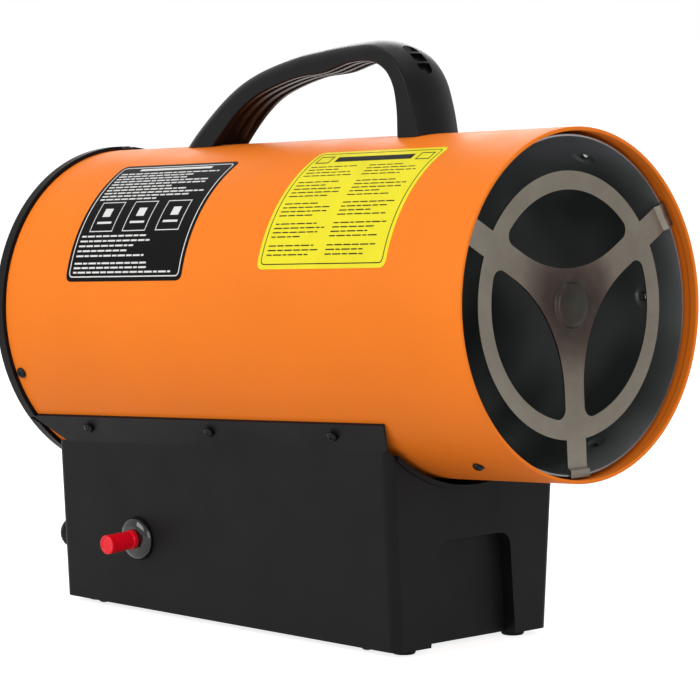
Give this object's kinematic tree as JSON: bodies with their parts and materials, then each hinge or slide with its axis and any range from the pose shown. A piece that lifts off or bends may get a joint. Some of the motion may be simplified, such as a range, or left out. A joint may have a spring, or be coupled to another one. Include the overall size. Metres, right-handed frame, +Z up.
{
  "type": "forced air heater",
  "caption": "Portable forced air gas heater: a slightly raised round shell with a burner, fan and front guard, on a tapered base with a handle, gas button and rear controls.",
  "frame": {"origin": "middle of the bounding box in X and Y, on the floor under the feet", "axes": "+X is where the warm air leaves, +Z is up, and the gas button is on the -Y side"},
  "size_m": [0.408, 0.205, 0.3504],
  "materials": {
    "orange_paint": "gloss powder coat",
    "black_paint": "satin powder coat",
    "black_plastic": "satin moulded plastic",
    "fan_plastic": "moulded plastic",
    "chamber_enamel": "dark heat-proof gloss",
    "brushed_steel": "brushed stainless steel",
    "zinc_steel": "zinc plated steel",
    "motor_steel": "bare motor steel",
    "black_screw": "blackened steel",
    "brass": "turned brass",
    "copper": "drawn copper",
    "red_plastic": "gloss moulded plastic",
    "rubber": "matt rubber",
    "white_ceramic": "unglazed ceramic"
  },
  "bodies": {
    "root": {"outer_shell": "orange_paint", "base_housing": "black_paint", "base_plate": "black_paint", "foot_1": "rubber", "foot_2": "rubber", "foot_3": "rubber", "foot_4": "rubber", "plate_screw_1": "black_screw", "plate_screw_2": "black_screw", "plate_screw_3": "black_screw", "plate_screw_4": "black_screw", "rear_screw_1": "black_screw", "rear_screw_2": "black_screw", "rear_screw_3": "black_screw", "front_screw_1": "black_screw", "front_screw_2": "black_screw", "flange_screw_1": "black_screw", "flange_screw_2": "black_screw", "flange_screw_3": "black_screw", "flange_screw_4": "black_screw", "flange_screw_5": "black_screw", "flange_screw_6": "black_screw", "handle": "black_plastic", "rear_grille": "black_plastic", "valve_collar": "black_plastic", "cable_gland": "black_plastic", "switch_frame": "black_plastic", "igniter_body": "black_plastic", "handle_screw_1": "zinc_steel", "handle_screw_2": "zinc_steel", "burner_plate": "zinc_steel", "motor_bracket": "zinc_steel", "combustion_chamber": "chamber_enamel", "flame_guard": "brushed_steel", "burner_cup": "brushed_steel", "overheat_thermostat": "brushed_steel", "gas_jet": "brass", "gas_valve": "brass", "gas_inlet": "brass", "thermocouple": "copper", "gas_pipe": "copper", "inlet_pipe": "copper", "ignition_electrode": "white_ceramic", "terminal_block": "white_ceramic", "fan_motor": "motor_steel"},
    "fan": {"fan": "fan_plastic", "motor_shaft": "zinc_steel"},
    "valve_button": {"valve_button": "red_plastic"},
    "igniter_button": {"igniter_button": "black_plastic"},
    "switch_rocker": {"switch_rocker": "red_plastic"}
  },
  "joints": [
    {"name": "fan_spin", "type": "hinge", "parent": "root", "child": "fan", "pos_m": [-0.10736, 0, 0.1847], "axis": [0.9981, 0, 0.0619], "continuous": true},
    {"name": "valve_press", "type": "slide", "parent": "root", "child": "valve_button", "axis": [0, 0.9981, 0.061], "range_m": [0, 0.006], "stiffness_N_per_m": 400},
    {"name": "igniter_press", "type": "slide", "parent": "root", "child": "igniter_button", "axis": [1, 0, 0], "range_m": [0, 0.005], "stiffness_N_per_m": 400},
    {"name": "rocker_tilt", "type": "hinge", "parent": "root", "child": "switch_rocker", "pos_m": [-0.17818, -0.016, 0.0404], "axis": [0, 1, 0], "range_deg": [0, 20]}
  ]
}
